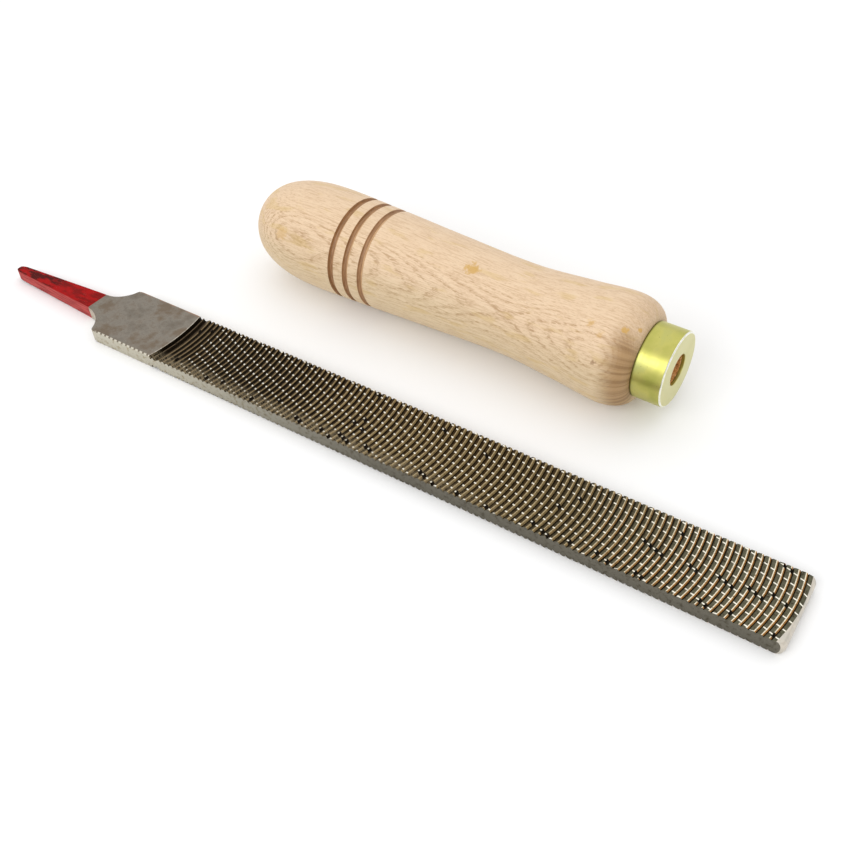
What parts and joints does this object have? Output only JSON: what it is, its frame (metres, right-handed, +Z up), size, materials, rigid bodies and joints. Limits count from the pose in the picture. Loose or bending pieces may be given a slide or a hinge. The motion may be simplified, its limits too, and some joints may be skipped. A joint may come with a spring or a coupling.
{
  "type": "wood rasp",
  "caption": "Flat milled-tooth wood rasp with a plain heel and painted tang, beside its loose turned wooden handle with a pressed ferrule.",
  "frame": {"origin": "centre of the plain heel's underside, on the surface that the blade and the handle lie on", "axes": "+X along the blade from tang to tip, +Z up, +Y towards the handle lying beside the blade"},
  "size_m": [0.2406, 0.0722, 0.0294],
  "materials": {
    "blade_steel": "hardened carbon steel, satin on the heel and edges, oil-darkened in the gullets",
    "beech": "steamed beech, thin satin lacquer",
    "plated_steel": "yellow zinc-passivated drawn steel, satin gloss",
    "tang_paint": "thin red dip paint, worn and smudged"
  },
  "bodies": {
    "handle": {"handle_grip": "beech", "ferrule": "plated_steel"},
    "blade": {"rasp_blade": "blade_steel"}
  },
  "joints": [
    {"name": "blade_offer", "type": "slide", "parent": "handle", "child": "blade", "axis": [0.9896, 0.1373, 0.0419], "range_m": [0, 0.3002]}
  ]
}
